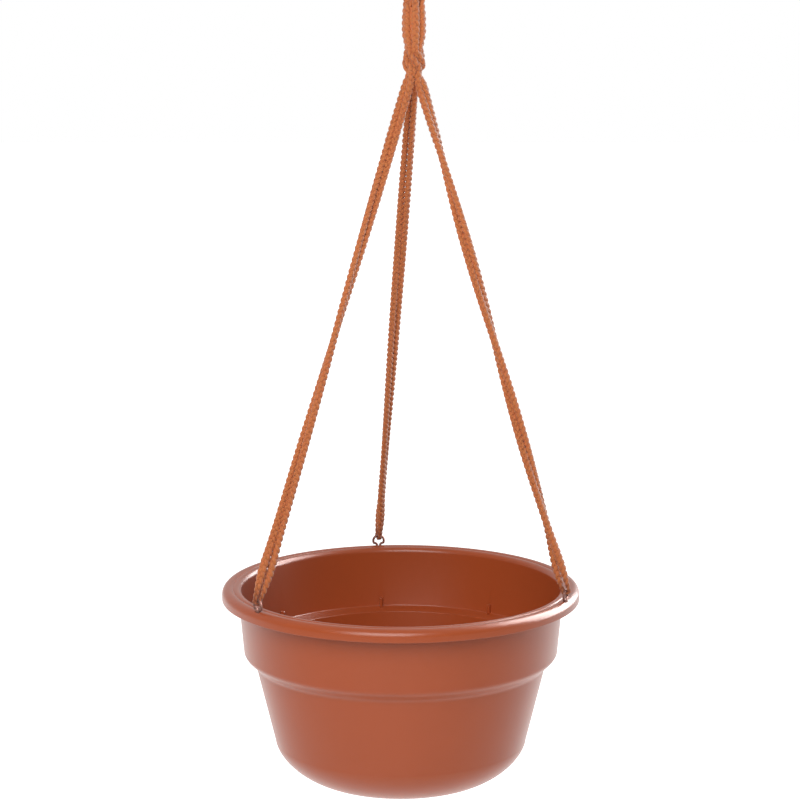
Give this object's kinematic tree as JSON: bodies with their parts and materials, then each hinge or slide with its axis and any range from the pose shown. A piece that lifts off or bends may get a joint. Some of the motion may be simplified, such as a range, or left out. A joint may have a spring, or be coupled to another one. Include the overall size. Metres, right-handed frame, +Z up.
{
  "type": "hanging basket",
  "caption": "Round moulded plant pot with a rolled rim, hung by doubled plaited cords on wire eyes that gather in a knot below a hanging loop.",
  "frame": {"origin": "the point where a hook bears in the top loop, with the whole basket below it", "axes": "+Z up, +X to the right and +Y away as the basket is seen from its front, where the right and left cords are the two nearer ones"},
  "size_m": [0.305, 0.3063, 0.7198],
  "materials": {
    "pot_plastic": "satin moulded terracotta-coloured plastic",
    "eye_steel": "dull dark wire",
    "plaited_cord": "three-strand plaited soft cord, orange-brown"
  },
  "bodies": {
    "top_loop": {"loop_strand_1": "plaited_cord", "loop_strand_2": "plaited_cord", "loop_strand_3": "plaited_cord"},
    "neck": {"neck_bundle": "plaited_cord"},
    "knot": {"tie_knot": "plaited_cord"},
    "basket": {"pot": "pot_plastic", "cord_rear": "plaited_cord", "cord_left": "plaited_cord", "cord_right": "plaited_cord"},
    "rear_eye": {"eye_rear": "eye_steel"},
    "left_eye": {"eye_left": "eye_steel"},
    "right_eye": {"eye_right": "eye_steel"}
  },
  "joints": [
    {"name": "loop_sway", "type": "hinge", "parent": "top_loop", "child": "neck", "pos_m": [0, 0, -0.0577], "axis": [0, 1, 0], "range_deg": [-20, 20], "deforming": ["loop_strand_1", "loop_strand_2", "loop_strand_3"]},
    {"name": "cord_twist", "type": "hinge", "parent": "neck", "child": "knot", "pos_m": [0, 0, -0.092], "axis": [0, 0, 1], "range_deg": [-60, 60], "stiffness_Nm_per_rad": 0.02},
    {"name": "basket_swing", "type": "hinge", "parent": "knot", "child": "basket", "pos_m": [0, 0, -0.12], "axis": [1, 0, 0], "range_deg": [-20, 20], "deforming": ["cord_rear", "cord_left", "cord_right"]},
    {"name": "rear_eye_rock", "type": "hinge", "parent": "basket", "child": "rear_eye", "pos_m": [-0.03103, 0.14693, -0.547], "axis": [-0.9907, -0.1357, 0], "range_deg": [-6, 6]},
    {"name": "left_eye_rock", "type": "hinge", "parent": "basket", "child": "left_eye", "pos_m": [-0.12808, -0.09089, -0.547], "axis": [0.6129, -0.7902, 0], "range_deg": [-6, 6]},
    {"name": "right_eye_rock", "type": "hinge", "parent": "basket", "child": "right_eye", "pos_m": [0.12641, -0.05603, -0.547], "axis": [0.3778, 0.9259, 0], "range_deg": [-6, 6]}
  ]
}
